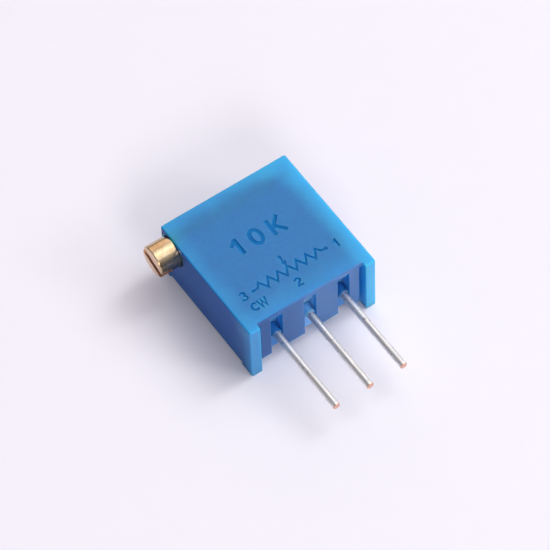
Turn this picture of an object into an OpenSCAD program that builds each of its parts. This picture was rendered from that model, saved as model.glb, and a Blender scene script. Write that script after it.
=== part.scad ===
// Multi-turn trimmer potentiometer with a side adjustment screw, in millimetres.
// The origin is on the middle lead's axis, in the plane of the leg ends.
// +X runs along the row of leads, away from the screw's head.
// The leads leave along -Y, and +Z comes out of the marked face.

/* [Body] */
// Width of the body along the row of leads
body_w = 9.53; // [9.45:0.01:10.2]
// Length of the body from the leg ends to the far side
body_l = 10.03; // [9.9:0.01:10.8]
// Thickness of the body from its back to its marked face
body_t = 4.83; // [4.75:0.01:5.3]
// Thickness of the walls beside the cavity
side_wall = 0.7; // [0.6:0.05:0.75]
// Thickness of the far wall
far_wall = 0.45; // [0.3:0.05:0.5]
// Thickness of the wall behind the marked face
face_wall = 0.38; // [0.32:0.02:0.42]
// Thickness of the wall that the leads come out through
pin_wall = 1.0; // [0.9:0.05:1.1]
// Radius of the upright moulded corners
corner_r = 0.15; // [0.05:0.05:0.3]
// Bevel round the marked face
face_bevel = 0.08; // [0.04:0.02:0.12]

/* [Legs and feet] */
// Width of each leg
leg_w = 0.765; // [0.6:0.01:0.9]
// Height at which the legs hold the body off the board
leg_l = 0.38; // [0.25:0.01:0.6]
// Width of the groove between a leg and the rib beside it
groove_w = 0.27; // [0.15:0.01:0.35]
// Depth of that groove
groove_d = 0.39; // [0.2:0.01:0.6]
// Step from the feet up to the edge of the side walls
side_step = 0.3; // [0.15:0.05:0.45]
// Step from the feet up to the ends of the ribs
rib_step = 0.68; // [0.5:0.01:0.8]
// Length of the feet at the leads
near_foot = 1.15; // [0.8:0.05:1.5]
// Length of the feet at the far side
far_foot = 0.75; // [0.6:0.05:1.2]

/* [Leads] */
// Diameter of the lead wire
lead_d = 0.51; // [0.45:0.01:0.6]
// Length of the leads past the leg ends
lead_l = 6.1; // [3:0.1:12]
// Distance between neighbouring leads
lead_pitch = 2.54; // [2.4:0.01:2.6]
// Height of the leads' axes above the back
lead_h = 2.415; // [2.3:0.005:2.5]
// Thickness of a lead's flattened inner end
coin_t = 0.3; // [0.24:0.01:0.36]
// Length of that flattened end
coin_l = 0.75; // [0.5:0.05:0.8]
// Width of the well round each lead
well_w = 0.9; // [0.75:0.01:1.0]
// Depth of the wells
well_d = 0.75; // [0.6:0.05:0.8]
// Depth of the middle well at its shallow top
ramp_d = 0.22; // [0.1:0.02:0.5]

/* [Adjustment screw] */
// Diameter of the head
head_d = 2.19; // [2.1:0.01:2.25]
// Length of the head outside the body
head_out = 1.52; // [1:0.01:2]
// Length of the head inside its bore, up to the seal
head_in = 0.9; // [0.7:0.05:1.0]
// Distance from the screw's axis to the far side
screw_inset = 1.27; // [1.24:0.01:1.4]
// Distance from the screw's axis to the marked face
screw_drop = 1.27; // [1.24:0.01:1.35]
// Bevel round the head's end
head_bevel = 0.09; // [0.03:0.01:0.15]
// Width of the screwdriver slot
slot_w = 0.56; // [0.4:0.01:0.7]
// Depth of the screwdriver slot
slot_d = 0.76; // [0.5:0.01:1.0]
// Turn of the slot away from the body's length
slot_turn = 20; // [0:5:90]
// Width of the groove for the seal
seal_w = 0.45; // [0.42:0.01:0.5]
// Diameter at the floor of the seal groove
seal_floor_d = 1.48; // [1.4:0.02:1.6]
// Length of the collar between the seal and the neck
collar_l = 0.4; // [0.3:0.05:0.45]
// Diameter of the neck that the retainer straddles
neck_d = 1.0; // [0.9:0.05:1.1]
// Length of the flange past the neck
flange_l = 0.22; // [0.15:0.01:0.25]
// Diameter of the journal at the inner end
journal_d = 1.0; // [0.8:0.05:1.04]
// Length of that journal
journal_l = 0.85; // [0.6:0.05:0.95]
// Length of the block that the journal turns in
bearing_l = 1.05; // [0.95:0.05:1.2]
// Widening of the bore at its mouth
mouth_w = 0.08; // [0.02:0.01:0.12]
// Depth of that widening
mouth_d = 0.25; // [0.1:0.05:0.5]
// Thickness of the retainer's sheet metal
clip_t = 0.35; // [0.25:0.05:0.4]
// Width of the retainer's prongs
prong_w = 0.28; // [0.2:0.02:0.35]
// Height of the prongs past the neck
prong_over = 0.25; // [0.1:0.05:0.3]

/* [Worm drive] */
// Number of teeth on the wheel
teeth = 32; // [30:1:36]
// Turns of the screw from end to end
turns = 25; // [20:1:25]
// Pitch diameter of the wheel
wheel_d = 6.0; // [5.8:0.05:6.2]
// Pitch diameter of the worm
worm_d = 1.6; // [1.5:0.05:1.65]
// Height of a tooth above the pitch line
addendum = 0.19; // [0.15:0.01:0.2]
// Gap between a tooth's tip and the floor that it faces
tip_gap = 0.05; // [0.04:0.01:0.08]
// Play between the flanks of the worm and the wheel
backlash = 0.07; // [0.06:0.01:0.1]
// Slope of the tooth flanks
pressure = 20; // [18:1:24]
// Thickness of the wheel at its teeth
wheel_t = 1.1; // [0.9:0.05:1.15]
// Length of the worm
worm_l = 4.4; // [3.8:0.1:4.5]

/* [Rotor and wiper] */
// Diameter of the post that the wheel turns on
post_d = 1.2; // [1.0:0.05:1.4]
// Thickness of the wheel's floor under the post
rotor_floor = 0.3; // [0.2:0.05:0.4]
// Diameter of the thrust boss on the wheel
boss_d = 2.2; // [1.8:0.1:2.4]
// Diameter of the carrier under the teeth
carrier_d = 5.3; // [5.2:0.05:5.4]
// Thickness of the carrier
carrier_t = 0.3; // [0.2:0.02:0.36]
// Outer diameter of the stop lugs
lug_d = 4.6; // [4.2:0.1:5.0]
// Half angle of the wheel's stop lug
lug_half = 19; // [12:1:22]
// Distance from the thrust boss to the stop lugs
lug_gap = 0.3; // [0.2:0.05:0.5]
// Angle left between the lugs at each end of the travel
stop_margin = 1; // [0.5:0.5:3]
// Least height of the wiper's sheet above the films
wiper_room = 0.33; // [0.25:0.01:0.36]
// Thickness of the wiper's sheet metal
wiper_t = 0.08; // [0.06:0.01:0.1]
// Width of a wiper finger
finger_w = 0.15; // [0.1:0.01:0.17]
// Distance between neighbouring fingers
finger_pitch = 0.2; // [0.19:0.01:0.22]
// Distance from a finger's root to its contact point
finger_l = 1.2; // [1.0:0.05:1.25]
// Length of a finger's upturned tip
tip_l = 0.26; // [0.2:0.02:0.3]
// Rise of that tip
tip_rise = 0.12; // [0.05:0.01:0.15]
// Width of the wiper's sheet behind the fingers' roots
sheet_rim = 0.55; // [0.4:0.05:0.7]
// Reach of the sheet past the wheel's axis, away from the fingers' roots
sheet_side = 1.3; // [1.2:0.05:1.6]
// Reach of the sheet past the wheel's axis, toward the stop
sheet_back = 1.2; // [0.8:0.05:1.4]
// Reach of the sheet past the wheel's axis, toward the fingers
sheet_front = 0.5; // [0.3:0.05:0.6]
// Diameter of the heat-staked pegs that hold the wiper
peg_d = 0.4; // [0.3:0.02:0.5]
// Distance of the pegs to each side of the wheel's axis
peg_x = 0.95; // [0.8:0.01:1.0]
// Overhang of the pegs' flattened heads
peg_lip = 0.15; // [0.05:0.01:0.2]
// Thickness of those heads
peg_head_t = 0.08; // [0.05:0.01:0.1]

/* [Element] */
// Thickness of the ceramic substrate
substrate_t = 0.6; // [0.5:0.02:0.7]
// Thickness of the printed films
film_t = 0.03; // [0.02:0.005:0.05]
// Mean radius of the resistive track
track_r = 2.0; // [1.9:0.01:2.05]
// Width of the resistive track
track_w = 0.7; // [0.6:0.02:0.8]
// Mean radius of the collector ring
collector_r = 0.95; // [0.85:0.01:1.0]
// Width of the collector ring
collector_w = 0.5; // [0.4:0.02:0.6]
// Width of the printed strips to the pads
strip_w = 0.4; // [0.3:0.02:0.5]
// Angle by which the end films reach under the wiper's end positions
end_reach = 4; // [2:1:6]
// Margin of the printed pads round the leads' flattened ends
pad_margin = 0.2; // [0.1:0.02:0.25]
// Distance from the substrate's edge to the pads
pad_inset = 0.1; // [0.05:0.01:0.15]
// Height of the solder over a flattened end
solder_over = 0.14; // [0.1:0.01:0.14]
// Distance from the outer pads to the ledges that the substrate seats on
ledge_gap = 0.23; // [0.1:0.01:0.4]
// Length of those ledges
ledge_l = 0.8; // [0.6:0.05:1.0]
// Depth of the resin's surface below the rib ends
resin_sink = 0.05; // [0.02:0.01:0.15]
// Depth of the resin's face in the wells
resin_d = 0.25; // [0.15:0.01:0.4]
// Size of the curve at the lower edge of that face
resin_bend = 0.35; // [0.1:0.05:0.5]
// Length by which the resin creeps out along a lead, past its face
creep_l = 0.18; // [0.05:0.01:0.25]
// Thickness of the resin round a lead where the creep ends
creep_t = 0.08; // [0.04:0.01:0.12]

/* [Clearances] */
// Radial running gap of the screw and the wheel
run_gap = 0.03; // [0.02:0.005:0.05]
// End play of the screw and the wheel
end_gap = 0.04; // [0.02:0.01:0.06]
// Gap round the retainer in its slot
clip_gap = 0.02; // [0.01:0.005:0.03]
// Gap on each side of the seal
seal_gap = 0.005; // [0.002:0.001:0.01]
// Gap between the wiper's contacts and the films
wiper_gap = 0.02; // [0.01:0.005:0.04]
// Gap round the substrate
substrate_gap = 0.1; // [0.06:0.01:0.15]
// Gap round a lead in the wall
lead_gap = 0.05; // [0.03:0.01:0.08]
// Gap between the wheel's teeth and the housing's blocks
wheel_gap = 0.12; // [0.08:0.01:0.2]

/* [Hidden] */
$fn = 48;
past = 1;

// Faces of the body
half_w = body_w / 2;
back_z = -lead_h;
face_z = body_t - lead_h;
seat_y = leg_l;
side_z = back_z + side_step;
rib_z = back_z + rib_step;
leg_x = half_w - leg_w;
rib_x = leg_x - groove_w;

// Faces of the cavity
in_x = half_w - side_wall;
in_near = seat_y + pin_wall;
in_far = body_l - far_wall;
ceiling_z = face_z - face_wall;
well_y = seat_y + well_d;

// Screw, from its outer end to its inner end
screw_y = body_l - screw_inset;
screw_z = face_z - screw_drop;
head_r = head_d / 2;
bore_r = head_r + run_gap;
neck_r = neck_d / 2;
journal_r = journal_d / 2;
neck_l = clip_t + 2 * (clip_gap + end_gap);
end_x = -half_w - head_out;
seal_x = -half_w + head_in;
collar_x = seal_x + seal_w;
neck_x = collar_x + collar_l;
flange_x = neck_x + neck_l;
stem_x = flange_x + flange_l;
block_x = stem_x;
fork_r = neck_r + clip_gap;
clip_y0 = screw_y - fork_r - prong_w;
clip_y1 = screw_y + fork_r + prong_w;
clip_top = screw_z + neck_r + prong_over;
bearing_x = in_x - bearing_l;
tip_x = bearing_x + journal_l;

// Worm and wheel, in mesh at the point between their pitch circles
pitch = PI * wheel_d / teeth;
worm_r = worm_d / 2 + addendum;
core_r = worm_d / 2 - addendum - tip_gap;
thread_root_r = core_r - 0.06;
wheel_tip_r = wheel_d / 2 + addendum;
wheel_root_r = wheel_d / 2 - addendum - tip_gap;
base_r = wheel_d / 2 * cos(pressure);
half_tooth = (pitch - backlash) / 4;
wheel_y = screw_y - (wheel_d + worm_d) / 2;
wheel_z = screw_z - wheel_t / 2;
wheel_top = screw_z + wheel_t / 2;
helix_turn = wheel_t * pitch / (PI * worm_d) / (wheel_d / 2) * 180 / PI;
travel = 360 * turns / teeth;
thread_steps = 18;

// Rotor under the teeth, and the stops above them
carrier_z = wheel_z - carrier_t;
sheet_z = carrier_z - wiper_t;
boss_top = ceiling_z - end_gap;
post_r = post_d / 2;
socket_z = wheel_z + rotor_floor;
lug_in_r = boss_d / 2 + lug_gap;
stop_half = (360 - travel) / 2 - lug_half - stop_margin;

// Substrate, with its films on top: under the leads' flattened ends, or lower for the wiper's room
film_z = min(-coin_t / 2, sheet_z - wiper_room);
substrate_top = film_z - film_t;
substrate_z = substrate_top - substrate_t;
substrate_near = in_near + substrate_gap;
coin_y = in_near + substrate_gap / 2;
coin_end = coin_y + coin_l;
coin_w = PI * lead_d * lead_d / 4 / coin_t;
pad_w = coin_w + 2 * pad_margin;
track_half = travel / 2 - end_reach;
film_half = travel / 2 + 3 * end_reach;
notch_w = lead_d + 2 * lead_gap;
notch_top = lead_d / 2 + lead_gap;
resin_z = rib_z + resin_sink;
resin_y = seat_y + resin_d;

// Places of the blocks inside the cavity
clear_r = wheel_tip_r + wheel_gap;
block_y = wheel_y + sqrt(max(0, clear_r * clear_r - block_x * block_x));
ledge_x = lead_pitch + pad_w / 2 + ledge_gap;

// Wiper's sheet, under the carrier
contact_z = film_z + wiper_gap;
root_x = -finger_l;
sheet_left = root_x - sheet_rim;
peg_y = (sheet_front - sheet_back) / 2;

// Lead positions along X, by terminal number
function lead_x(n) = (2 - n) * lead_pitch;

// Rectangle with rounded corners, as points
function round_rect(x0, y0, x1, y1, r, steps = 4) = [
    for (k = [0 : 3]) for (i = [0 : steps])
        let (a = 90 * (k + i / steps))
        let (x = k == 0 || k == 3 ? x1 - r : x0 + r)
        let (y = k < 2 ? y1 - r : y0 + r)
        [x + r * cos(a), y + r * sin(a)]
];

// Box between two corners
module block(low, high) {
    translate(low) cube(high - low);
}

// Outline in the YZ plane, carried along X
module along_x(x0, x1) {
    translate([x0, 0, 0]) rotate([90, 0, 90]) linear_extrude(x1 - x0) children();
}

// Outline in the XZ plane, carried along Y
module along_y(y0, y1) {
    translate([0, y1, 0]) rotate([90, 0, 0]) linear_extrude(y1 - y0) children();
}

// Piece of a flat ring, centred on +Y, between two half angles
module ring_sector(r0, r1, half) {
    steps = 8;
    reach = 2 * r1;
    intersection() {
        difference() {
            circle(r1);
            circle(r0);
        }
        polygon(concat([[0, 0]], [
            for (i = [0 : steps]) let (a = 90 - half + 2 * half * i / steps) reach * [cos(a), sin(a)]
        ]));
    }
}

// Cylinder along X, about the screw's axis
module screw_cylinder(x0, x1, r) {
    translate([x0, screw_y, screw_z]) rotate([0, 90, 0]) cylinder(r = r, h = x1 - x0);
}

// Outer form of the moulding, with a bevel round the marked face
module outer_form() {
    b = face_bevel;
    intersection() {
        translate([0, 0, back_z]) linear_extrude(body_t)
            polygon(round_rect(-half_w, 0, half_w, body_l, corner_r));
        along_x(-half_w - past, half_w + past) polygon([
            [0, back_z], [body_l, back_z], [body_l, face_z - b],
            [body_l - b, face_z], [b, face_z], [0, face_z - b]
        ]);
        along_y(-past, body_l + past) polygon([
            [-half_w, back_z], [half_w, back_z], [half_w, face_z - b],
            [half_w - b, face_z], [b - half_w, face_z], [-half_w, face_z - b]
        ]);
    }
}

// Space that one lead passes through: a well in the wall, and a notch at its floor
module lead_passage(n) {
    x = lead_x(n);
    low = back_z - past;
    block([x - notch_w / 2, seat_y, low], [x + notch_w / 2, in_near, notch_top]);
    along_x(x - well_w / 2, x + well_w / 2) polygon([
        [seat_y - past, low], [well_y, low], [well_y, notch_top],
        [n == 2 ? seat_y + ramp_d : well_y, ceiling_z], [seat_y - past, ceiling_z]
    ]);
}

// Grooves beside the legs, the seat between them, and the steps under the walls
module underside_cuts() {
    low = back_z - past;
    block([-leg_x, -past, low], [leg_x, seat_y, face_z + past]);
    for (side = [0, 1]) mirror([side, 0, 0])
        block([rib_x, seat_y - past, low], [leg_x, seat_y + groove_d, ceiling_z]);
    block([-leg_x, -past, low], [leg_x, in_near + past, rib_z]);
    block([-half_w - past, near_foot, low], [half_w + past, body_l - far_foot, side_z]);
    block([-leg_x, in_near, low], [leg_x, body_l + past, side_z]);
}

// Block round the screw's seal and neck, bearing for its journal, and seats for the substrate
module inner_blocks() {
    top = ceiling_z + face_wall / 2;
    block([-in_x - side_wall / 2, block_y, substrate_top], [block_x, in_far + far_wall / 2, top]);
    block([bearing_x, block_y, substrate_top], [in_x + side_wall / 2, in_far + far_wall / 2, top]);
    for (side = [0, 1]) mirror([side, 0, 0])
        block([ledge_x, in_near - pin_wall / 4, substrate_top],
              [in_x + side_wall / 2, in_near + ledge_l, top]);
}

// Post for the wheel and the lug that stops it, both on the ceiling
module wheel_post() {
    translate([0, wheel_y, socket_z + end_gap])
        cylinder(r = post_r, h = ceiling_z + face_wall / 2 - socket_z - end_gap);
    translate([0, wheel_y, wheel_top + end_gap]) rotate([0, 0, 180])
        linear_extrude(ceiling_z + face_wall / 2 - wheel_top - end_gap)
            ring_sector(lug_in_r, lug_d / 2, stop_half);
}

// Bore for the screw, its mouth, the journal's bearing and the retainer's slot
module screw_space() {
    screw_cylinder(-half_w - past, bearing_x, bore_r);
    screw_cylinder(-half_w - past, -half_w + mouth_d, head_r + run_gap + mouth_w);
    screw_cylinder(bearing_x - end_gap, tip_x + end_gap, journal_r + run_gap);
    block([neck_x + end_gap, clip_y0 - clip_gap, substrate_top - past],
          [flange_x - end_gap, in_far, clip_top + clip_gap]);
}

// Moulded housing, open at the back
module housing() {
    color("#3f8ad0") difference() {
        union() {
            difference() {
                outer_form();
                block([-in_x, in_near, back_z - past], [in_x, in_far, ceiling_z]);
            }
            inner_blocks();
            wheel_post();
        }
        underside_cuts();
        screw_space();
        for (n = [1 : 3]) lead_passage(n);
    }
}

// Helical ridge of the worm, right-handed, running out at both ends
module worm_thread() {
    turns_l = worm_l / pitch;
    steps = ceil(turns_l * thread_steps);
    root_r = thread_root_r;
    slope = tan(pressure);
    crest = half_tooth - addendum * slope;
    root = half_tooth + (worm_d / 2 - root_r) * slope;
    run_out = thread_steps / 3;
    points = [
        for (i = [0 : steps])
            let (x = -worm_l / 2 + worm_l * i / steps)
            let (a = 360 * x / pitch)
            let (fade = min(1, (i + 1) / run_out, (steps - i + 1) / run_out))
            let (r = root_r + (worm_r - root_r) * fade)
            for (p = [[-root, root_r], [-crest, r], [crest, r], [root, root_r]])
                [x + p[0], p[1] * cos(a), p[1] * sin(a)]
    ];
    last = 4 * steps;
    faces = concat(
        [[0, 2, 1], [0, 3, 2], [last, last + 1, last + 2], [last, last + 2, last + 3]],
        [for (j = [0 : 4 : last - 4]) for (k = [0 : 3]) [j + k, j + (k + 1) % 4, j + 4 + k]],
        [for (j = [0 : 4 : last - 4]) for (k = [0 : 3])
            [j + 4 + k, j + (k + 1) % 4, j + 4 + (k + 1) % 4]]
    );
    translate([0, screw_y, screw_z]) polyhedron(points, faces);
}

// Turned brass screw: head, seal groove, collar, neck, flange, worm and journal
module adjustment_screw() {
    color("#c8a35a") difference() {
        union() {
            translate([0, screw_y, screw_z]) rotate([0, 90, 0]) rotate_extrude() polygon([
                [0, end_x], [head_r - head_bevel, end_x], [head_r, end_x + head_bevel],
                [head_r, seal_x], [seal_floor_d / 2, seal_x],
                [seal_floor_d / 2, collar_x], [head_r, collar_x],
                [head_r, neck_x], [neck_r, neck_x],
                [neck_r, flange_x], [head_r, flange_x],
                [head_r, stem_x], [core_r, stem_x],
                [core_r, bearing_x - end_gap], [journal_r, bearing_x - end_gap],
                [journal_r, tip_x], [0, tip_x]
            ]);
            worm_thread();
        }
        translate([end_x, screw_y, screw_z]) rotate([slot_turn, 0, 0])
            block([-past, -head_d, -slot_w / 2], [slot_d, head_d, slot_w / 2]);
    }
}

// Rubber ring in the screw's groove, held between its floor and the bore
module shaft_seal() {
    floor_r = seal_floor_d / 2;
    ring_d = bore_r - floor_r - 2 * seal_gap;
    color("#b0502c") translate([seal_x + seal_w / 2, screw_y, screw_z]) rotate([0, 90, 0])
        rotate_extrude() translate([(bore_r + floor_r) / 2, 0]) circle(d = ring_d);
}

// Sheet metal fork that straddles the screw's neck, slid in from the back
module screw_retainer() {
    x0 = neck_x + end_gap + clip_gap;
    color("#b9bcc0") along_x(x0, x0 + clip_t) difference() {
        polygon([
            [clip_y0, substrate_top + clip_gap], [clip_y1, substrate_top + clip_gap],
            [clip_y1, clip_top], [clip_y0, clip_top]
        ]);
        translate([screw_y, screw_z]) circle(fork_r);
        translate([screw_y - fork_r, screw_z]) square([2 * fork_r, clip_top]);
    }
}

// Half angle of a wheel tooth at radius r, on an involute flank
function involute(a) = tan(a) * 180 / PI - a;
function tooth_half(r) = half_tooth / (wheel_d / 2) * 180 / PI
    + involute(pressure) - involute(acos(min(1, base_r / r)));

// Toothed disc, with its teeth slanted to follow the worm's thread
module wheel_teeth() {
    radii = [wheel_root_r, base_r, (base_r + wheel_tip_r) / 2, wheel_tip_r];
    up = len(radii) - 1;
    outline = [
        for (t = [0 : teeth - 1]) for (j = [-up - 1 : up])
            let (k = j < 0 ? -j - 1 : j)
            let (r = radii[up - k])
            let (a = 90 - 360 * t / teeth - (j < 0 ? -1 : 1) * tooth_half(r))
            r * [cos(a), sin(a)]
    ];
    rotate([0, 0, -helix_turn / 2])
        linear_extrude(wheel_t, twist = -helix_turn, slices = 1) polygon(outline);
}

// Moulded wheel: teeth, carrier disc, thrust boss, stop lug and pegs for the wiper
module worm_wheel() {
    color("#e9e4d2") translate([0, wheel_y, 0]) difference() {
        union() {
            translate([0, 0, wheel_z]) wheel_teeth();
            translate([0, 0, carrier_z]) cylinder(d = carrier_d, h = carrier_t + rotor_floor);
            translate([0, 0, screw_z]) {
                cylinder(d = boss_d, h = boss_top - screw_z);
                linear_extrude(boss_top - screw_z) ring_sector(lug_in_r, lug_d / 2, lug_half);
            }
            for (side = [-1, 1]) translate([side * peg_x, peg_y, sheet_z - peg_head_t]) {
                cylinder(d = peg_d, h = peg_head_t + wiper_t + carrier_t);
                cylinder(d = peg_d + 2 * peg_lip, h = peg_head_t);
            }
        }
        translate([0, 0, socket_z]) cylinder(r = post_r + run_gap, h = ceiling_z - socket_z);
    }
}

// Strip of even thickness along a curve, as points
function blade(curve, t) = concat(
    [for (i = [0 : len(curve) - 1]) curve[i] + t / 2 * side_of(curve, i)],
    [for (i = [len(curve) - 1 : -1 : 0]) curve[i] - t / 2 * side_of(curve, i)]
);
function side_of(curve, i) =
    let (d = curve[min(i + 1, len(curve) - 1)] - curve[max(i - 1, 0)])
    [-d[1], d[0]] / norm(d);

// One spring finger: down from the sheet to its contact, and up again at the tip
module finger(y) {
    root_z = sheet_z + wiper_t / 2;
    low_z = contact_z + wiper_t / 2;
    steps = 8;
    tip_steps = 3;
    curve = concat(
        [[root_x - finger_w, root_z]],
        [for (i = [0 : steps]) let (u = i / steps)
            [root_x * (1 - u), root_z + (low_z - root_z) * u * u * (3 - 2 * u)]],
        [for (i = [1 : tip_steps]) let (u = i / tip_steps) [tip_l * u, low_z + tip_rise * u * u]]
    );
    along_y(y - finger_w / 2, y + finger_w / 2) polygon(blade(curve, wiper_t));
}

// Sprung sheet metal contact that bridges the track and the collector
module wiper_contact() {
    finger_side = track_r + finger_pitch + finger_w / 2;
    color("#d8b878") translate([0, wheel_y, 0]) {
        difference() {
            translate([0, 0, sheet_z]) linear_extrude(wiper_t) intersection() {
                circle(d = carrier_d);
                union() {
                    translate([sheet_left, -sheet_back])
                        square([sheet_rim, finger_side + sheet_back]);
                    translate([sheet_left, -sheet_back])
                        square([sheet_side - sheet_left, sheet_front + sheet_back]);
                }
            }
            for (side = [-1, 1]) translate([side * peg_x, peg_y, sheet_z - past])
                cylinder(d = peg_d, h = 2 * past);
        }
        for (k = [-1 : 1]) finger(track_r + k * finger_pitch);
        for (k = [-1, 1]) finger(collector_r + k * finger_pitch / 2);
    }
}

// Alumina plate that carries the printed element
module ceramic_substrate() {
    color("#f2efe6") block(
        [-in_x + substrate_gap / 2, substrate_near, substrate_z],
        [in_x - substrate_gap / 2, in_far - substrate_gap / 2, substrate_top]);
}

// Flat film on the substrate
module film() {
    translate([0, 0, substrate_top]) linear_extrude(film_t) children();
}

// Printed cermet resistor, an arc that the wiper runs along
module track_outline() {
    translate([0, wheel_y]) ring_sector(track_r - track_w / 2, track_r + track_w / 2, track_half);
}

module resistive_track() {
    color("#2b2a2c") film() track_outline();
}

// Pad under the flattened end of a lead
module pad(n) {
    low = substrate_near + pad_inset;
    translate([lead_x(n) - pad_w / 2, low]) square([pad_w, coin_end + pad_margin - low]);
}

// Printed strip between two points
module strip(a, b) {
    d = b - a;
    side = [-d[1], d[0]] / norm(d) * strip_w / 2;
    polygon([a - side, b - side, b + side, a + side]);
}

// Collector ring, joined to the middle pad through the gap in the track
module collector_film() {
    color("#c9c7c0") film() {
        translate([0, wheel_y]) difference() {
            circle(collector_r + collector_w / 2);
            circle(collector_r - collector_w / 2);
        }
        strip([lead_x(2), coin_end], [0, wheel_y - collector_r]);
        pad(2);
    }
}

// Film from one end of the track to its pad
module end_film(n) {
    side = sign(lead_x(n));
    mean = (track_half + film_half) / 2;
    film_mid = [side * track_r * sin(mean), wheel_y + track_r * cos(mean)];
    film() {
        translate([0, wheel_y]) rotate([0, 0, -side * mean])
            ring_sector(track_r - track_w / 2, track_r + track_w / 2, (film_half - track_half) / 2);
        difference() {
            strip([lead_x(n), coin_end], film_mid);
            track_outline();
        }
        pad(n);
    }
}

module end_film_1() { color("#c9c7c0") end_film(1); }
module end_film_3() { color("#c9c7c0") end_film(3); }

// Round length of a lead, between two places along Y
module wire(n, y0, y1) {
    translate([lead_x(n), y0, 0]) rotate([-90, 0, 0]) cylinder(d = lead_d, h = y1 - y0);
}

// The same length with flats, as it is gripped in the wall
module gripped_wire(n, y0, y1) {
    translate([lead_x(n), y0, 0]) rotate([-90, 0, 0]) cylinder(d = lead_d, h = y1 - y0, $fn = 12);
}

// Flattened inner end of a lead, which bends down where the films lie lower
module lead_end(n) {
    bend_y = coin_y + coin_l / 3;
    along_x(lead_x(n) - coin_w / 2, lead_x(n) + coin_w / 2) polygon([
        [coin_y, -coin_t / 2], [bend_y, film_z], [coin_end, film_z],
        [coin_end, film_z + coin_t], [bend_y, film_z + coin_t], [coin_y, coin_t / 2]
    ]);
}

// Lead: round wire outside, gripped in the wall, and flattened on its pad
module terminal_pin(n) {
    wire(n, -lead_l, seat_y);
    gripped_wire(n, seat_y, coin_y);
    lead_end(n);
}

module terminal_pin_1() { color("#d2d3d6") terminal_pin(1); }
module terminal_pin_2() { color("#d2d3d6") terminal_pin(2); }
module terminal_pin_3() { color("#d2d3d6") terminal_pin(3); }

// Arch from the film up over a flattened lead, as points
function arch(a, b, rise) = [for (i = [0 : 8]) let (u = i / 8)
    [a + (b - a) * u, film_z + rise * pow(sin(180 * u), 0.45)]];

// Solder over a flattened lead's end
module solder_joint(n) {
    x = lead_x(n);
    rise = coin_t + solder_over;
    low_y = substrate_near + pad_inset;
    color("#b4b6ba") difference() {
        intersection() {
            along_y(low_y, coin_end + pad_margin) polygon(arch(x - pad_w / 2, x + pad_w / 2, rise));
            along_x(x - pad_w, x + pad_w) polygon(arch(low_y, coin_end + pad_margin, rise));
        }
        lead_end(n);
    }
}

module solder_joint_1() { solder_joint(1); }
module solder_joint_2() { solder_joint(2); }
module solder_joint_3() { solder_joint(3); }

// Resin that has crept out along a lead, wide at the back of its well and narrow in front
module resin_creep(n) {
    front = resin_y - creep_l;
    translate([lead_x(n), well_y, 0]) rotate([90, 0, 0])
        cylinder(r1 = well_w / 2, r2 = lead_d / 2 + creep_t, h = well_y - front);
}

// Cast resin behind the substrate, with a tongue round each lead
module back_seal() {
    color("#3d78b8") {
        block([-in_x, in_near, resin_z], [in_x, in_far, substrate_z]);
        for (n = [1 : 3]) difference() {
            intersection() {
                lead_passage(n);
                union() {
                    along_x(lead_x(n) - well_w, lead_x(n) + well_w) polygon([
                        [resin_y + resin_bend, resin_z],
                        [resin_y + resin_bend / 4, resin_z + resin_bend / 4],
                        [resin_y, resin_z + resin_bend], [resin_y, -lead_d / 4], [well_y, 0],
                        [well_y, notch_top], [in_near, notch_top], [in_near, resin_z]
                    ]);
                    resin_creep(n);
                }
            }
            gripped_wire(n, 0, in_near + past);
        }
    }
}

housing();
adjustment_screw();
shaft_seal();
screw_retainer();
worm_wheel();
wiper_contact();
ceramic_substrate();
resistive_track();
collector_film();
end_film_1();
end_film_3();
terminal_pin_1();
terminal_pin_2();
terminal_pin_3();
solder_joint_1();
solder_joint_2();
solder_joint_3();
back_seal();
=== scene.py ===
import math

import bmesh
import bpy
from mathutils import Matrix, Vector


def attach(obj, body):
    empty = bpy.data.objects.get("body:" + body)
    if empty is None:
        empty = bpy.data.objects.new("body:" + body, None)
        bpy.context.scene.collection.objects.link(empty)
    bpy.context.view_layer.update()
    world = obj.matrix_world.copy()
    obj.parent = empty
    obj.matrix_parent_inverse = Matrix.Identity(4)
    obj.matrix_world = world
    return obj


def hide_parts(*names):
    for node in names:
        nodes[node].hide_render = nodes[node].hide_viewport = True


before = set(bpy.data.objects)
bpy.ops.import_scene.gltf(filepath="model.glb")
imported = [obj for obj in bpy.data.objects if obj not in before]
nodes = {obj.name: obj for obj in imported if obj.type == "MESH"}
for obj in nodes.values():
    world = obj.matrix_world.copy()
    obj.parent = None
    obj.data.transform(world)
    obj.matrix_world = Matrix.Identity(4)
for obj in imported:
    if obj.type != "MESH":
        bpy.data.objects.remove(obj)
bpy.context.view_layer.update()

scene = bpy.context.scene
scene.view_settings.view_transform = "Standard"

# Sizes in millimetres, in the frame of the CAD model
MM = 0.001
BODY_W, BODY_L = 9.53, 10.03
FACE_Z, BACK_Z = 2.415, -2.415
SEAT_Y = 0.38
SIDE_WALL, FAR_WALL, PIN_WALL = 0.7, 0.45, 1.0
LEAD_D, LEAD_L, LEAD_PITCH = 0.51, 6.1, 2.54
FLAT_START, FLAT_END, FLAT_W, FLAT_T = 1.43, 2.18, 0.681, 0.3
SCREW_Y, SCREW_Z = 8.76, 1.145
HEAD_R, HEAD_END_X = 1.095, -6.285
SLOT_W, SLOT_D, SLOT_TURN = 0.56, 0.76, math.radians(20)
WHEEL_D, TEETH = 6.0, 32
MARK_DEPTH, SLOPE = 0.085, 0.25
JOIN = 0.0005  # vertices closer than this are one


# ---- Helpers ----

def srgb(code):
    """A hex colour as linear red, green, blue and alpha."""
    parts = [int(code[i:i + 2], 16) / 255 for i in (1, 3, 5)]
    return [p / 12.92 if p <= 0.04045 else ((p + 0.055) / 1.055) ** 2.4 for p in parts] + [1.0]


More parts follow.
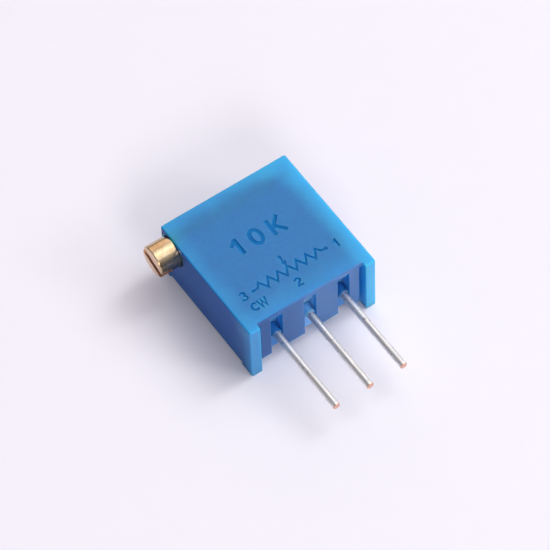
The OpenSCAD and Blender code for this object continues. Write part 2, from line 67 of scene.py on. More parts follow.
def fill(tree, node, inputs):
    """Gives inputs of a node a value, or a socket of another node, which is then linked."""
    for key, value in inputs.items():
        if isinstance(value, bpy.types.NodeSocket):
            tree.links.new(value, node.inputs[key])
        else:
            node.inputs[key].default_value = value


def add(tree, kind, inputs=None, **settings):
    """Adds a node with its settings and inputs."""
    made = tree.nodes.new(kind)
    for name, value in settings.items():
        setattr(made, name, value)
    fill(tree, made, inputs or {})
    return made


def maths(tree, operation, *values):
    return add(tree, "ShaderNodeMath", dict(enumerate(values)), operation=operation).outputs[0]


def noise(tree, place, scale, detail):
    """Cloudy noise, its scale in clouds to the millimetre."""
    return add(tree, "ShaderNodeTexNoise", {"Vector": place, "Scale": scale, "Detail": detail}).outputs["Fac"]


def mapped(tree, place, scale=(1, 1, 1), shift=(0, 0, 0)):
    return add(tree, "ShaderNodeMapping", {"Vector": place, "Location": shift, "Scale": scale}).outputs[0]


def separate(tree, vector):
    return add(tree, "ShaderNodeSeparateXYZ", {"Vector": vector}).outputs


def ramp(tree, value, low, high, to_low=0.0, to_high=1.0):
    """A value carried smoothly from one range to another."""
    return add(tree, "ShaderNodeMapRange", {
        "Value": value, "From Min": low, "From Max": high, "To Min": to_low, "To Max": to_high,
    }, interpolation_type="SMOOTHSTEP").outputs["Result"]


def within(tree, *limits):
    """How far a point is inside a region. Each limit is a value, where it starts and where it is full."""
    inside = ramp(tree, *limits[0])
    for limit in limits[1:]:
        inside = maths(tree, "MULTIPLY", inside, ramp(tree, *limit))
    return inside


def blend(tree, amount, first, second):
    """A colour between two, each a hex code or a socket."""
    node = add(tree, "ShaderNodeMix", {"Factor": amount}, data_type="RGBA")
    fill(tree, node, {key: srgb(value) if isinstance(value, str) else value
                      for key, value in ((6, first), (7, second))})
    return node.outputs[2]


def bumps(tree, shader, height, depth, strength, under=None):
    """A bump of that depth in millimetres, on top of another one where that is given."""
    inputs = {"Height": height, "Distance": depth * MM, "Strength": strength}
    if under:
        inputs["Normal"] = under
    bump = add(tree, "ShaderNodeBump", inputs).outputs[0]
    fill(tree, shader, {"Normal": bump})
    return bump


def new_material(name):
    """A material with only its output and shader, and the place on the object in millimetres."""
    material = bpy.data.materials.new(name)
    material.use_nodes = True
    tree = material.node_tree
    tree.nodes.clear()
    shader = add(tree, "ShaderNodeBsdfPrincipled")
    add(tree, "ShaderNodeOutputMaterial", {"Surface": shader.outputs["BSDF"]})
    place = mapped(tree, add(tree, "ShaderNodeTexCoord").outputs["Object"], (1 / MM,) * 3)
    return material, tree, shader, place


def piece(name, mesh, material, body, slot, *replaced):
    """A finished piece, its mesh in millimetres, which rides on a body."""
    mesh.transform(Matrix.Scale(MM, 4))
    mesh.name = name
    obj = loose(name, mesh)
    mesh.materials.clear()
    mesh.materials.append(material)
    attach(obj, body)
    if replaced:
        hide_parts(*replaced)
    return obj


def loose(name, mesh):
    obj = bpy.data.objects.new(name, mesh)
    scene.collection.objects.link(obj)
    return obj


def made_mesh(name, bm):
    """The finished mesh of a bmesh, which is freed."""
    mesh = bpy.data.meshes.new(name)
    bm.to_mesh(mesh)
    bm.free()
    return mesh


def evaluated(obj):
    """The mesh of an object with its modifiers applied. The object is removed."""
    bpy.context.view_layer.update()
    depsgraph = bpy.context.evaluated_depsgraph_get()
    mesh = bpy.data.meshes.new_from_object(obj.evaluated_get(depsgraph))
    bpy.data.objects.remove(obj)
    return mesh


def smooth(mesh, angle):
    mesh.polygons.foreach_set("use_smooth", [True] * len(mesh.polygons))
    mesh.set_sharp_from_angle(angle=math.radians(angle))


def even_shading(mesh, angle):
    """Smooth shading in which wide faces stay flat beside their rounded edges."""
    smooth(mesh, angle)
    obj = loose("even", mesh)
    flat = obj.modifiers.new("flat faces", "WEIGHTED_NORMAL")
    flat.keep_sharp = True
    return evaluated(obj)


def cad_copy(node):
    """A copy of a CAD node's mesh in millimetres, with its loose triangles joined to flat faces."""
    bm = bmesh.new()
    bm.from_mesh(nodes[node].data)
    bmesh.ops.scale(bm, vec=(1 / MM,) * 3, verts=bm.verts)
    bmesh.ops.remove_doubles(bm, verts=bm.verts, dist=JOIN)
    bmesh.ops.dissolve_limit(bm, angle_limit=math.radians(0.5), verts=bm.verts, edges=bm.edges)
    return bm


# ---- Materials ----
# The limits of ramps and regions are places in millimetres

def blue_plastic():
    # Glass-filled thermoplastic, moulded: a satin blue that lets light through. The cyan glow of the thick
    # rims over the walls is painted light, standing for light that comes through them; the thin middle and
    # the wall between the legs are left duller
    material, tree, shader, place = new_material("moulded_blue_plastic")
    xyz = separate(tree, place)
    span = maths(tree, "ABSOLUTE", xyz["X"])
    drift = ramp(tree, noise(tree, place, 0.45, 3.0), 0.2, 0.8, -0.25, 0.25)
    x, y = (maths(tree, "ADD", xyz[axis], drift) for axis in "XY")
    # How little of the painted glow is left, as the rims along the four edges and the leg ends add up. The
    # far rim and the legs are painted to glow more toward the right, the side the light comes from
    far = ramp(tree, x, -1.0, 4.2, 0.5, 0.0)
    legs = ramp(tree, xyz["X"], -4.0, 4.0, 0.8, 0.0)
    dull = ramp(tree, x, 3.0, 4.7, 1.0, 0.0)
    for rim in (ramp(tree, y, 8.6, 10.0, 1.0, far), ramp(tree, x, -3.4, -4.7, 1.0, 0.65),
                ramp(tree, y, 2.4, 0.4, 1.0, 0.7), ramp(tree, xyz["Y"], 0.42, 0.36, 1.0, legs)):
        dull = maths(tree, "MULTIPLY", dull, rim)
    mottle = ramp(tree, noise(tree, place, 4.0, 4.0), 0.35, 0.65)
    # Painted light: the glowing cyan of the rims, over the plain mottled blue
    colour = blend(tree, dull, "#24aee4", blend(tree, mottle, "#0f78ba", "#117cbe"))

    side = within(tree, (span, 4.72, 4.76), (y, 0.0, 2.4, 0.4, 1.0))
    below_face = (xyz["Z"], 2.3, 2.2)
    round_screw = mapped(tree, place, (0, 1, 1), (0, -SCREW_Y, -SCREW_Z))
    round_screw = add(tree, "ShaderNodeVectorMath", {0: round_screw}, operation="LENGTH").outputs["Value"]
    marks = within(tree, (xyz["Z"], FACE_Z - 0.01, FACE_Z - 0.04), (xyz["Z"], 2.2, 2.25),
                   (span, 4.3, 4.2), (xyz["Y"], 0.9, 1.0), (xyz["Y"], 9.6, 9.5))
    for region, shade in (
        # Low down, away from the near edge
        (within(tree, (xyz["Z"], 1.7, 0.3), (xyz["Y"], 0.2, 1.4)), "#1f6fb2"),
        # The ends of the legs and the wall between them, painted lighter toward the right, the side the light
        # comes from: painted light and painted shade. The leg ends also get a painted cyan glow
        (ramp(tree, xyz["Y"], 0.06, 0.02),
         blend(tree, ramp(tree, xyz["X"], -4.0, 4.0), "#3893cc", "#3eb2e4")),
        (within(tree, (xyz["Y"], 0.5, 0.42), (span, 4.0, 3.9)),
         blend(tree, ramp(tree, xyz["X"], -4.2, 1.5), "#125294", "#4275b2")),
        # The faces on the left and on the right, painted a darker blue: painted shade
        (side, "#1556a2"),
        # Painted light: the wells, most of all the middle one, and the legs' inner faces are painted lighter,
        # as if light came through to them
        (within(tree, (xyz["Y"], 0.55, 0.9), (xyz["Y"], 1.42, 1.4), (span, 3.9, 3.8), below_face),
         blend(tree, ramp(tree, span, 1.0, 0.6), "#5aa4e6", "#8ac4ee")),
        (within(tree, (span, 3.97, 3.99), (span, 4.05, 4.02), (xyz["Y"], 1.0, 0.9), below_face), "#2aa2e2"),
        # The bore round the screw's head is in the dark
        (within(tree, (round_screw, 1.32, 1.28), (xyz["X"], 4.0, 3.5), (xyz["Z"], 2.35, 2.3),
                (xyz["Y"], 9.95, 9.9)), "#144a8c"),
        # The floors of the marks are painted darker than the face: painted shade in the recesses
        (marks, "#0d76bb"),
    ):
        colour = blend(tree, region, colour, shade)
    dull = maths(tree, "MAXIMUM", side, marks)
    fill(tree, shader, {
        "Base Color": colour, "Roughness": ramp(tree, side, 0.0, 1.0, 0.45, 0.35),
        "Specular IOR Level": ramp(tree, dull, 0.0, 1.0, 0.5, 0.1), "IOR": 1.55,
        "Subsurface Weight": 0.9, "Subsurface Radius": (0.35, 0.8, 1.0), "Subsurface Scale": 1.0 * MM,
    })
    # Fine moulded texture, 0.1 mm between grains, drawn coarser than the real one
    bumps(tree, shader, noise(tree, place, 9.0, 4.0), 0.008, 0.7)
    return material


def turned_brass():
    # Free-cutting brass, turned on a lathe: pale and bright, with fine rings round its axis, a pinker cut
    # face, and a slot made dull by the milling cutter, its brown painted shade in the recess
    material, tree, shader, place = new_material("turned_brass")
    rings = noise(tree, mapped(tree, place, (24.0, 0.25, 0.25)), 1.0, 3.0)
    stain = ramp(tree, noise(tree, place, 1.4, 4.0), 0.35, 0.7)
    turned = add(tree, "ShaderNodeVectorRotate", {
        "Vector": mapped(tree, place, shift=(0, -SCREW_Y, -SCREW_Z)), "Angle": -SLOT_TURN,
    }, rotation_type="X_AXIS")
    local = separate(tree, turned.outputs[0])
    end = ramp(tree, local["X"], HEAD_END_X + 0.03, HEAD_END_X + 0.005)
    across = maths(tree, "ABSOLUTE", local["Z"])
    slot = within(tree, (across, SLOT_W / 2 + 0.004, SLOT_W / 2 + 0.001),
                  (local["X"], HEAD_END_X + 0.01, HEAD_END_X + 0.05), (local["X"], -5.45, -5.5))
    colour = blend(tree, end, blend(tree, stain, "#ccb998", "#bea277"), "#e0bd9c")
    # The slot is painted brown: painted shade in its recess
    fill(tree, shader, {
        "Base Color": blend(tree, slot, colour, "#c2957a"), "Metallic": 1.0,
        "Roughness": maths(tree, "MULTIPLY_ADD", slot, 0.3, ramp(tree, rings, 0.2, 0.8, 0.2, 0.27)),
    })
    under = bumps(tree, shader, noise(tree, place, 7.0, 3.0), 0.009, 0.5)
    bumps(tree, shader, rings, 0.001, 0.6, under)
    return material


def tinned_wire():
    # Copper wire dipped in tin: pale and slightly uneven, with bare copper at the cut end
    material, tree, shader, place = new_material("tinned_copper_wire")
    y = separate(tree, place)["Y"]
    along = mapped(tree, place, (3.0, 0.5, 3.0))
    streak = noise(tree, along, 1.6, 5.0)
    tin = blend(tree, ramp(tree, streak, 0.3, 0.7), "#f8f6f3", "#e6e3e0")
    # Small dull spots in the coat, more of them near the body. Close to the body the wire is also painted a
    # darker grey: painted shade beside the body
    more = ramp(tree, y, -4.0, 0.0, 0.0, 0.06)
    spots = ramp(tree, maths(tree, "ADD", noise(tree, place, 5.0, 6.0), more), 0.6, 0.8)
    tin = blend(tree, spots, tin, "#9a9792")
    # Painted shade: the wire turns a darker grey close to the body
    tin = blend(tree, ramp(tree, y, -1.2, 0.4, 0.0, 0.25), tin, "#7c7f86")
    cut_end = ramp(tree, y, -LEAD_L + 0.1, -LEAD_L + 0.02)
    fill(tree, shader, {
        "Base Color": blend(tree, cut_end, tin, "#e6b9a6"),
        "Metallic": ramp(tree, y, -1.5, -0.3, 0.86, 1.0),
        "Roughness": ramp(tree, streak, 0.2, 0.8, 0.4, 0.58),
    })
    bumps(tree, shader, noise(tree, along, 5.0, 3.0), 0.016, 0.8)
    return material


def cast_resin():
    # Epoxy, poured and cured: a duller blue than the plastic, smooth, with a few tiny pits
    material, tree, shader, place = new_material("cast_epoxy_resin")
    cloud = noise(tree, place, 0.9, 4.0)
    colour = blend(tree, ramp(tree, cloud, 0.3, 0.7), "#1a64ac", "#2a7cc4")
    # The tongue in the middle well is thinner, and it is painted a lighter blue, as if more light came
    # through it: painted light
    xyz = separate(tree, place)
    span = maths(tree, "ABSOLUTE", xyz["X"])
    middle = within(tree, (span, 1.0, 0.6), (xyz["Y"], 1.9, 1.7), (xyz["Z"], -2.0, -1.7))
    fill(tree, shader, {
        "Base Color": blend(tree, middle, colour, "#6aa8f0"),
        "Roughness": ramp(tree, cloud, 0.3, 0.7, 0.3, 0.48), "IOR": 1.55,
        "Subsurface Weight": 0.8, "Subsurface Radius": (0.3, 0.7, 1.0), "Subsurface Scale": 0.5 * MM,
    })
    pits = add(tree, "ShaderNodeTexVoronoi", {"Vector": place, "Scale": 1.8}).outputs["Distance"]
    bumps(tree, shader, ramp(tree, pits, 0.04, 0.12), 0.03, 0.6)
    return material


def rubber():
    # Silicone rubber, moulded: matt red-brown with a faint bloom
    material, tree, shader, place = new_material("silicone_rubber")
    bloom = noise(tree, place, 4.0, 5.0)
    colour = blend(tree, ramp(tree, bloom, 0.35, 0.75), "#9a4a2c", "#ad6347")
    fill(tree, shader, {"Base Color": colour, "Roughness": 0.68, "IOR": 1.41})
    bumps(tree, shader, bloom, 0.008, 0.5)
    return material


def stamped_metal(name, pale, dark, grain_axis):
    # Rolled strip, stamped: a satin sheet with its rolling lines along one axis
    material, tree, shader, place = new_material(name)
    scale = [9.0, 9.0, 9.0]
    scale[grain_axis] = 0.4
    lines = noise(tree, mapped(tree, place, scale), 1.5, 3.0)
    fill(tree, shader, {"Base Color": blend(tree, lines, pale, dark), "Metallic": 1.0,
                        "Roughness": ramp(tree, lines, 0.2, 0.8, 0.25, 0.42)})
    bumps(tree, shader, lines, 0.003, 0.5)
    return material


def nylon():
    # Natural nylon, moulded: a milky off-white that light soaks into
    material, tree, shader, place = new_material("natural_nylon")
    cloud = ramp(tree, noise(tree, place, 1.1, 4.0), 0.3, 0.7)
    fill(tree, shader, {
        "Base Color": blend(tree, cloud, "#ece6d2", "#dfd6bc"), "Roughness": 0.38, "IOR": 1.53,
        "Subsurface Weight": 0.3, "Subsurface Radius": (0.9, 0.7, 0.5), "Subsurface Scale": 0.4 * MM,
    })
    bumps(tree, shader, noise(tree, place, 14.0, 3.0), 0.003, 0.5)
    return material


def alumina():
    # Alumina ceramic, fired: a matt white with a sandy surface
    material, tree, shader, place = new_material("fired_alumina")
    sand = noise(tree, place, 12.0, 5.0)
    colour = blend(tree, ramp(tree, sand, 0.35, 0.65), "#f3f0e8", "#e2ddd0")
    fill(tree, shader, {"Base Color": colour, "Roughness": 0.62, "IOR": 1.76})
    bumps(tree, shader, sand, 0.006, 0.5)
    return material


def printed_ink(name, pale, dark, metallic, rough):
    # Thick-film ink, screen-printed and fired: it keeps the weave of the screen
    material, tree, shader, place = new_material(name)
    threads = {"Vector": place, "Scale": 4.5, "Distortion": 0.6}
    wave, cross = (add(tree, "ShaderNodeTexWave", threads, bands_direction=axis).outputs["Fac"]
                   for axis in "XY")
    weave = maths(tree, "MULTIPLY", wave, cross)
    fill(tree, shader, {
        "Base Color": blend(tree, weave, dark, pale), "Metallic": metallic, "Roughness": rough})
    bumps(tree, shader, weave, 0.004, 0.5)
    return material


def solder():
    # Tin solder, melted and set: a bright skin with a slight orange peel
    material, tree, shader, place = new_material("reflowed_solder")
    peel = noise(tree, place, 5.0, 4.0)
    fill(tree, shader, {"Base Color": blend(tree, ramp(tree, peel, 0.3, 0.7), "#c9cbce", "#a9abaf"),
                        "Metallic": 1.0, "Roughness": ramp(tree, peel, 0.3, 0.7, 0.2, 0.4)})
    bumps(tree, shader, peel, 0.01, 0.6)
    return material


# ---- Camera, floor and light ----

def camera():
    """The camera that was solved from the corners of the body in the photo."""
    data = bpy.data.cameras.new("camera")
    data.lens, data.sensor_width = 265.3, 36.0
    data.clip_start, data.clip_end = 0.01, 5.0
    obj = loose("camera", data)
    place = Vector((-76.052, -115.014, 212.945))
    right = Vector((0.82259139, -0.56810242, -0.02455705))
    up = Vector((0.48483658, 0.67815119, 0.55230829))
    back = Vector((-0.29711428, -0.4662302, 0.83327816))
    turn = Matrix((right, up, back)).transposed().to_4x4()
    obj.matrix_world = Matrix.Translation(place * MM) @ turn
    scene.camera = obj


def light(name, wide, high, power, place, toward, colour="#ffffff"):
    """A soft oval lamp, its size and places in millimetres and its power in watts."""
    data = bpy.data.lights.new(name, "AREA")
    data.color = srgb(colour)[:3]
    data.shape, data.size, data.size_y, data.energy = "ELLIPSE", wide * MM, high * MM, power
    obj = loose(name, data)
    obj.location = Vector(place) * MM
    aim = (Vector(toward) - Vector(place)).normalized()
    obj.rotation_mode = "QUATERNION"
    obj.rotation_quaternion = aim.to_track_quat("-Z", "Y")


def studio():
    """A pale floor under the part, five soft lamps, and a dim room."""
    material, tree, shader, place = new_material("pale_paper_floor")
    tooth = noise(tree, place, 0.6, 4.0)
    fill(tree, shader, {"Base Color": blend(tree, tooth, "#f7f4fb", "#f5f2f9"),
                        "Roughness": 0.9, "Specular IOR Level": 0.1})
    half = 600 * MM
    mesh = bpy.data.meshes.new("floor")
    mesh.from_pydata([(-half, -half, BACK_Z * MM), (half, -half, BACK_Z * MM),
                      (half, half, BACK_Z * MM), (-half, half, BACK_Z * MM)], [], [(0, 1, 2, 3)])
    mesh.materials.append(material)
    loose("floor", mesh)
    # The main light comes from high on the right, and the shadow falls to the left
    light("softbox", 880, 670, 2.08, (290, -48, 568), (0, 4, 0))
    light("side lamp", 130, 360, 0.85, (350, -10, 536), (0, 4, 0))
    # These two brighten the side of the leads
    light("left fill", 210, 210, 1.2, (-160, -512, 320), (0, 0, 0))
    light("right fill", 210, 210, 0.7, (400, -464, 368), (0, 0, 0))
    # This one stands behind the part and draws the warm stripe on the screw's head
    light("warm panel", 230, 620, 0.44, (190, 522, 325), (0, 8, 0), "#ffe0cc")
    world = bpy.data.worlds.new("room")
    scene.world = world
    world.use_nodes = True
    tree = world.node_tree
    # A pale ceiling which comes down on the right; the rest of the room is dim
    heading = separate(tree, add(tree, "ShaderNodeTexCoord").outputs["Generated"])
    height = maths(tree, "MULTIPLY_ADD", heading["X"], 0.5, heading["Z"])
    fill(tree, tree.nodes["Background"], {
        "Strength": ramp(tree, height, 0.2, 1.1, 0.11, 0.41), "Color": srgb("#f3f0ff")})


# ---- Marked face ----

def cutter(low, high, top, depth):
    """A prism between two flat outlines, as deep below a level as it is high above it."""
    bm = bmesh.new()
    low = [bm.verts.new((x, y, top - depth)) for x, y in low]
    high = [bm.verts.new((x, y, top + depth)) for x, y in high]
    bm.faces.new(list(reversed(low)))
    bm.faces.new(high)
    for i in range(len(low)):
        j = (i + 1) % len(low)
        bm.faces.new((low[i], low[j], high[j], high[i]))
    return made_mesh("cutter", bm)


def stroke(points, width):
    """Outline of a line of even width through the points, mitred at its corners."""
    sharpest = 0.35
    points = [Vector(p) for p in points]
    sides = []
    for i, p in enumerate(points):
        before = (p - points[i - 1]).normalized() if i else None
        after = (points[i + 1] - p).normalized() if i + 1 < len(points) else None
        along = ((before or after) + (after or before)).normalized()
        across = Vector((-along.y, along.x))
        cosine = across.dot(Vector((-(after or before).y, (after or before).x)))
        sides.append((p, across * width / 2 / max(cosine, sharpest)))
    return [tuple(p - s) for p, s in sides] + [tuple(p + s) for p, s in reversed(sides)]


def groove(points, width):
    """Lower and upper outline of a groove with sloping sides along a line."""
    return stroke(points, width * (1 - SLOPE)), stroke(points, width * (1 + SLOPE))


def arc(x, y, rx, ry, start, stop, steps=14):
    """Points along an ellipse between two angles in degrees."""
    turns = [math.radians(start + (stop - start) * i / steps) for i in range(steps + 1)]
    return [(x + rx * math.cos(a), y + ry * math.sin(a)) for a in turns]


# Strokes of each character on the body, in parts of its height, centred on x = 0
CHARACTERS = {
    "0": [arc(0, 0.5, 0.27, 0.42, 80, 280), arc(0, 0.5, 0.27, 0.42, -100, 100)],
    "1": [[(0.08, 0), (0.08, 1)], [(0.12, 0.93), (-0.27, 0.64)]],
    "2": [arc(0, 0.69, 0.25, 0.23, 175, -20) + [(-0.26, 0.08)], [(-0.33, 0.08), (0.33, 0.08)]],
    "3": [arc(-0.02, 0.72, 0.24, 0.2, 165, -90), arc(-0.02, 0.29, 0.27, 0.21, 90, -165)],
    "C": [arc(0, 0.5, 0.34, 0.42, 42, 318)],
    "K": [[(-0.26, 0), (-0.26, 1)], [(-0.24, 0.36), (0.34, 1)], [(-0.08, 0.53), (0.36, 0)]],
    "W": [[(-0.46, 1), (-0.23, 0), (0, 0.85), (0.23, 0), (0.46, 1)]],
}


def lettering():
    """Outlines of the generic value, the terminal numbers and the clockwise mark."""
    outlines = []
    # Each has its middle, its foot, its height and the width of its strokes in millimetres
    for letter, x, y, height, width in (
        ("1", -1.72, 5.2, 1.34, 0.3), ("0", -0.3, 5.2, 1.34, 0.3), ("K", 1.18, 5.2, 1.34, 0.3),
        ("3", -3.5, 2.25, 0.7, 0.15), ("1", 3.5, 2.22, 0.7, 0.15), ("2", -0.08, 1.19, 0.66, 0.15),
        ("C", -3.32, 1.25, 0.64, 0.14), ("W", -2.75, 1.25, 0.64, 0.13),
    ):
        for points in CHARACTERS[letter]:
            outlines.append(groove([(x + px * height, y + py * height) for px, py in points], width))
    return outlines


def resistor_symbol():
    """Outlines of the zigzag between terminals 3 and 1, and of the wiper's arrow."""
    peaks, step, top, bottom, middle = 7, 0.72, 2.95, 2.3, 2.6
    first_peak, first_dip, lead_in, lead_end, dot_x, dot_r = -2.16, -1.8, 2.42, 2.72, 2.76, 0.14
    stem_foot, stem_top, dot_y = 3.1, 3.72, 3.74
    line = [(-lead_end, middle), (-lead_in, middle)]
    for k in range(peaks):
        line.append((first_peak + step * k, top))
        if k < peaks - 1:
            line.append((first_dip + step * k, bottom))
    line += [(lead_in, middle), (lead_end, middle)]
    dots = [[arc(x, y, r, r, 0, 342, 19) for r in (dot_r * (1 - SLOPE), dot_r * (1 + SLOPE))]
            for x, y in ((-dot_x, middle), (dot_x, middle), (0, dot_y))]
    arrow = [(-0.15, 3.34), (0, 3.04), (0.15, 3.34)]
    return [groove(line, 0.17), groove([(0, stem_foot), (0, stem_top)], 0.14), groove(arrow, 0.11)] + dots


def cut(obj, mesh):
    """Takes a mesh out of an object."""
    tool = loose("tool", mesh)
    step = obj.modifiers.new("cut", "BOOLEAN")
    step.operation, step.solver, step.object = "DIFFERENCE", "EXACT", tool
    made = evaluated(obj)
    bpy.data.objects.remove(tool)
    return loose("cut", made)


def moulded_case(material):
    """The housing with rounded outer edges and its recessed marks."""
    bm = cad_copy("housing")
    weight = bm.edges.layers.float.new("bevel_weight_edge")
    in_x, in_far, in_near = BODY_W / 2 - SIDE_WALL, BODY_L - FAR_WALL, SEAT_Y + PIN_WALL
    top_z, bore_r, bore_x, crease = 2.2, 1.35, -3.5, math.radians(25)
    for edge in bm.edges:
        if len(edge.link_faces) != 2 or edge.calc_face_angle(0) < crease:
            continue
        mid = (edge.verts[0].co + edge.verts[1].co) / 2
        outside = abs(mid.x) > in_x + 0.2 or mid.y > in_far + 0.1 or mid.y < in_near - 0.2 or mid.z > top_z
        bore = math.hypot(mid.y - SCREW_Y, mid.z - SCREW_Z) < bore_r and mid.x < bore_x
        edge[weight] = 1.0 if outside and not bore else 0.0
    obj = loose("case", made_mesh("case", bm))
    rounding = obj.modifiers.new("rounding", "BEVEL")
    rounding.limit_method, rounding.width, rounding.segments = "WEIGHT", 0.075, 3
    rounding.use_clamp_overlap = True
    obj = loose("case", evaluated(obj))
    for low, high in resistor_symbol() + lettering():
        obj = cut(obj, cutter(low, high, FACE_Z, MARK_DEPTH))
    mesh = even_shading(evaluated(obj), 35)
    # Corners beside a wide face take its normal, so that no crease shows where its parts meet
    flat = {}
    for face in mesh.polygons:
        if max(abs(part) for part in face.normal) > 0.9999:
            for vertex in face.vertices:
                flat.setdefault(vertex, []).append(face.normal.copy())
    normals = [corner.vector.copy() for corner in mesh.corner_normals]
    for corner, normal in zip(mesh.loops, normals):
        for wide in flat.get(corner.vertex_index, ()):
            if wide.dot(normal) > 0.99:
                normal[:] = wide
    mesh.normals_split_custom_set([tuple(normal) for normal in normals])
    return piece("moulded_case", mesh, material, "case", "blue_thermoplastic", "housing")


# ---- Screw ----

def turned_screw(material):
    """The adjustment screw, turned from one profile, with its worm thread and its slot."""
    bevel, count = 0.09, 96
    groove_r, neck_r, core_r = 0.74, 0.5, 0.56
    profile = [
        # The head, with its rounded rim
        (HEAD_END_X, 0), (HEAD_END_X, HEAD_R - bevel), (HEAD_END_X + 0.03, HEAD_R - 0.03),
        (HEAD_END_X + bevel, HEAD_R), (-3.865, HEAD_R),
        # The groove of the seal, and the neck that the fork holds, between two collars
        (-3.865, groove_r), (-3.415, groove_r), (-3.415, HEAD_R), (-3.015, HEAD_R),
        (-3.015, neck_r), (-2.545, neck_r), (-2.545, HEAD_R), (-2.325, HEAD_R),
        # The core under the thread, and the end that turns in the far bearing
        (-2.325, core_r), (2.975, core_r), (2.975, neck_r), (3.865, neck_r), (3.865, 0),
    ]
    bm = bmesh.new()
    rings = []
    for x, r in profile:
        turns = [math.tau * i / count for i in range(count)] if r else [0]
        rings.append([bm.verts.new((x, r * math.cos(a), r * math.sin(a))) for a in turns])
    for a, b in zip(rings, rings[1:]):
        for i in range(count):
            j = (i + 1) % count
            corners = [a[0]] if len(a) == 1 else [a[i], a[j]]
            corners += [b[0]] if len(b) == 1 else [b[j], b[i]]
            bm.faces.new(corners)
    bmesh.ops.recalc_face_normals(bm, faces=bm.faces)
    mesh = made_mesh("screw", bm)
    # The slot's cutter reaches past the head on three sides
    reach, half, depth = 1.4, SLOT_W / 2, 1.0
    mouth = [(-reach, -half), (reach, -half), (reach, half), (-reach, half)]
    slot = cutter(mouth, mouth, 0, depth)
    quarter = math.radians(90)
    slot.transform(Matrix.Translation((HEAD_END_X + SLOT_D - depth, 0, 0))
                   @ Matrix.Rotation(SLOT_TURN, 4, "X")
                   @ Matrix.Rotation(quarter, 4, "Y") @ Matrix.Rotation(quarter, 4, "Z"))
    obj = cut(loose("screw", mesh), slot)
    edges = obj.modifiers.new("edges", "BEVEL")
    edges.limit_method, edges.angle_limit, edges.width, edges.segments = "ANGLE", math.radians(40), 0.018, 2
    bm = bmesh.new()
    bm.from_mesh(evaluated(obj))
    worm_thread(bm)
    mesh = made_mesh("screw", bm)
    mesh.transform(Matrix.Translation((0, SCREW_Y, SCREW_Z)))
    mesh = even_shading(mesh, 35)
    return piece("turned_screw", mesh, material, "screw", "turned_brass", "adjustment_screw")


def worm_thread(bm):
    """A right-handed ridge round the screw's axis, which runs out at both ends."""
    pitch, length, steps_a_turn = math.pi * WHEEL_D / TEETH, 4.4, 32
    crest, root, crest_r, root_r = 0.0607, 0.2373, 0.99, 0.5
    steps = math.ceil(length / pitch * steps_a_turn)
    run_out = steps_a_turn / 3
    rings = []
    for i in range(steps + 1):
        x = -length / 2 + length * i / steps
        a = math.tau * x / pitch
        r = root_r + (crest_r - root_r) * min(1, (i + 1) / run_out, (steps - i + 1) / run_out)
        rings.append([bm.verts.new((x + dx, radius * math.cos(a), radius * math.sin(a)))
                      for dx, radius in ((-root, root_r), (-crest, r), (crest, r), (root, root_r))])
    faces = [bm.faces.new(rings[0]), bm.faces.new(list(reversed(rings[-1])))]
    for a, b in zip(rings, rings[1:]):
        for k in range(4):
            faces.append(bm.faces.new((a[k], b[k], b[(k + 1) % 4], a[(k + 1) % 4])))
    bmesh.ops.recalc_face_normals(bm, faces=faces)


# ---- Leads ----

def wire_tree(material):
    """A drawn wire along -Y, made of rings, with the slight unevenness of its tin coat."""
    tree = bpy.data.node_groups.new("tinned_wire", "GeometryNodeTree")
    for name, default in (("Radius", LEAD_D / 2), ("Outer end", -LEAD_L), ("Inner end", FLAT_START),
                          ("Row place", 0.0), ("Unevenness", 0.012), ("Seed", 1.0)):
        socket = tree.interface.new_socket(name, in_out="INPUT", socket_type="NodeSocketFloat")
        socket.default_value = default
    tree.interface.new_socket("Geometry", in_out="OUTPUT", socket_type="NodeSocketGeometry")
    size = add(tree, "NodeGroupInput").outputs
    start, stop = (add(tree, "ShaderNodeCombineXYZ", {"X": size["Row place"], "Y": size[end]}).outputs[0]
                   for end in ("Outer end", "Inner end"))
    path = add(tree, "GeometryNodeCurvePrimitiveLine", {"Start": start, "End": stop}).outputs[0]
    path = add(tree, "GeometryNodeResampleCurve", {"Curve": path, "Count": 110}).outputs[0]
    ring = add(tree, "GeometryNodeCurvePrimitiveCircle",
               {"Resolution": 32, "Radius": size["Radius"]}).outputs[0]
    wire = add(tree, "GeometryNodeCurveToMesh",
               {"Curve": path, "Profile Curve": ring, "Fill Caps": True}).outputs[0]
    place = add(tree, "GeometryNodeInputPosition").outputs[0]
    shift = add(tree, "ShaderNodeTexNoise", {
        "Vector": place, "W": size["Seed"], "Scale": 1.3, "Detail": 2.0,
    }, noise_dimensions="4D").outputs["Color"]
    # The coat moves sideways only, to either side
    for operation, key, value in (("SUBTRACT", 1, (0.5, 0.5, 0.5)), ("MULTIPLY", 1, (1.0, 0.0, 1.0)),
                                  ("SCALE", "Scale", size["Unevenness"])):
        shift = add(tree, "ShaderNodeVectorMath", {0: shift, key: value}, operation=operation).outputs[0]
    wire = add(tree, "GeometryNodeSetPosition", {"Geometry": wire, "Offset": shift}).outputs[0]
    wire = add(tree, "GeometryNodeRealizeInstances", {"Geometry": wire}).outputs[0]
    wire = add(tree, "GeometryNodeSetMaterial", {"Geometry": wire, "Material": material}).outputs[0]
    add(tree, "NodeGroupOutput", {0: wire})
    return tree


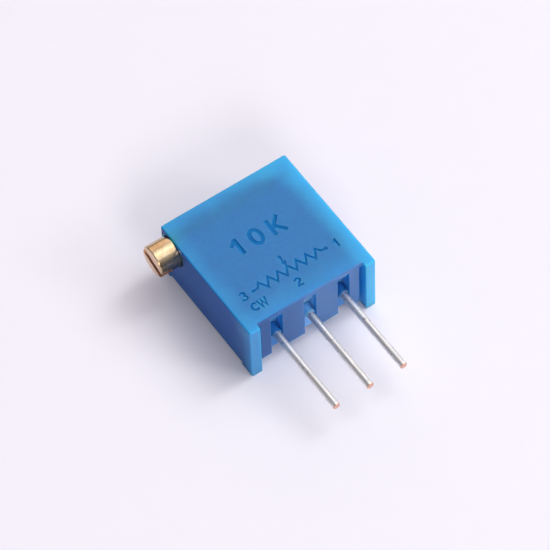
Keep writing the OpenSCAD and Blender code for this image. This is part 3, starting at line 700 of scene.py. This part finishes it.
def lead(number, tree, material):
    """One lead: its wire with a sheared end, and the flattened end on its pad."""
    x = (2 - number) * LEAD_PITCH
    own = {"Row place": x, "Seed": 3.7 * number}
    obj = loose("wire", bpy.data.meshes.new("wire"))
    grow = obj.modifiers.new("grow", "NODES")
    grow.node_group = tree
    for item in tree.interface.items_tree:
        if item.name in own:
            grow[item.identifier] = own[item.name]
    bm = bmesh.new()
    bm.from_mesh(evaluated(obj))
    bmesh.ops.remove_doubles(bm, verts=bm.verts, dist=JOIN)
    # The outer end is drawn in at its rim and cut a little askew
    drawn_in, cut_zone, askew = 0.88, 0.2, 0.02
    tip = [f for f in bm.faces if f.calc_center_median().y < -LEAD_L + 0.01 and len(f.verts) > 8]
    rim = {v for f in tip for v in f.verts}
    for v in rim:
        v.co.x = x + (v.co.x - x) * drawn_in
        v.co.z *= drawn_in
    for v in bm.verts:
        if v.co.y < -LEAD_L + cut_zone and v not in rim:
            v.co.y += askew * (v.co.z / (LEAD_D / 2))
    corners = [bm.verts.new((x + sx * FLAT_W / 2, y, sz * FLAT_T / 2)) for y in (FLAT_START, FLAT_END)
               for sx, sz in ((-1, -1), (1, -1), (1, 1), (-1, 1))]
    faces = [(3, 2, 1, 0), (4, 5, 6, 7)] + [(i, (i + 1) % 4, 4 + (i + 1) % 4, 4 + i) for i in range(4)]
    for face in faces:
        bm.faces.new([corners[i] for i in face])
    bmesh.ops.recalc_face_normals(bm, faces=bm.faces)
    mesh = made_mesh("wire", bm)
    smooth(mesh, 40)
    return piece(f"lead_{number}", mesh, material, "case", "tinned_wire", f"terminal_pin_{number}")


# ---- The whole part ----

camera()
studio()

moulded_case(blue_plastic())
turned_screw(turned_brass())
wire = tinned_wire()
tree = wire_tree(wire)
for number in (1, 2, 3):
    lead(number, tree, wire)

# The pieces that keep the shapes of the CAD model
finishes = {
    "back_seal": cast_resin(),
    "shaft_seal": rubber(),
    "screw_retainer": stamped_metal("stamped_spring_steel", "#b9bcc0", "#8d9095", 2),
    "worm_wheel": nylon(),
    "wiper_contact": stamped_metal("gold_plated_contact", "#e2c083", "#bd9550", 1),
    "ceramic_substrate": alumina(),
    "resistive_track": printed_ink("printed_cermet", "#38363a", "#1f1d20", 0.0, 0.5),
}
silver, joint = printed_ink("printed_silver", "#d2d0c8", "#a9a69c", 1.0, 0.45), solder()
for name in ("collector_film", "end_film_1", "end_film_3"):
    finishes[name] = silver
for number in (1, 2, 3):
    finishes[f"solder_joint_{number}"] = joint
for name, material in finishes.items():
    nodes[name].data.materials.clear()
    nodes[name].data.materials.append(material)
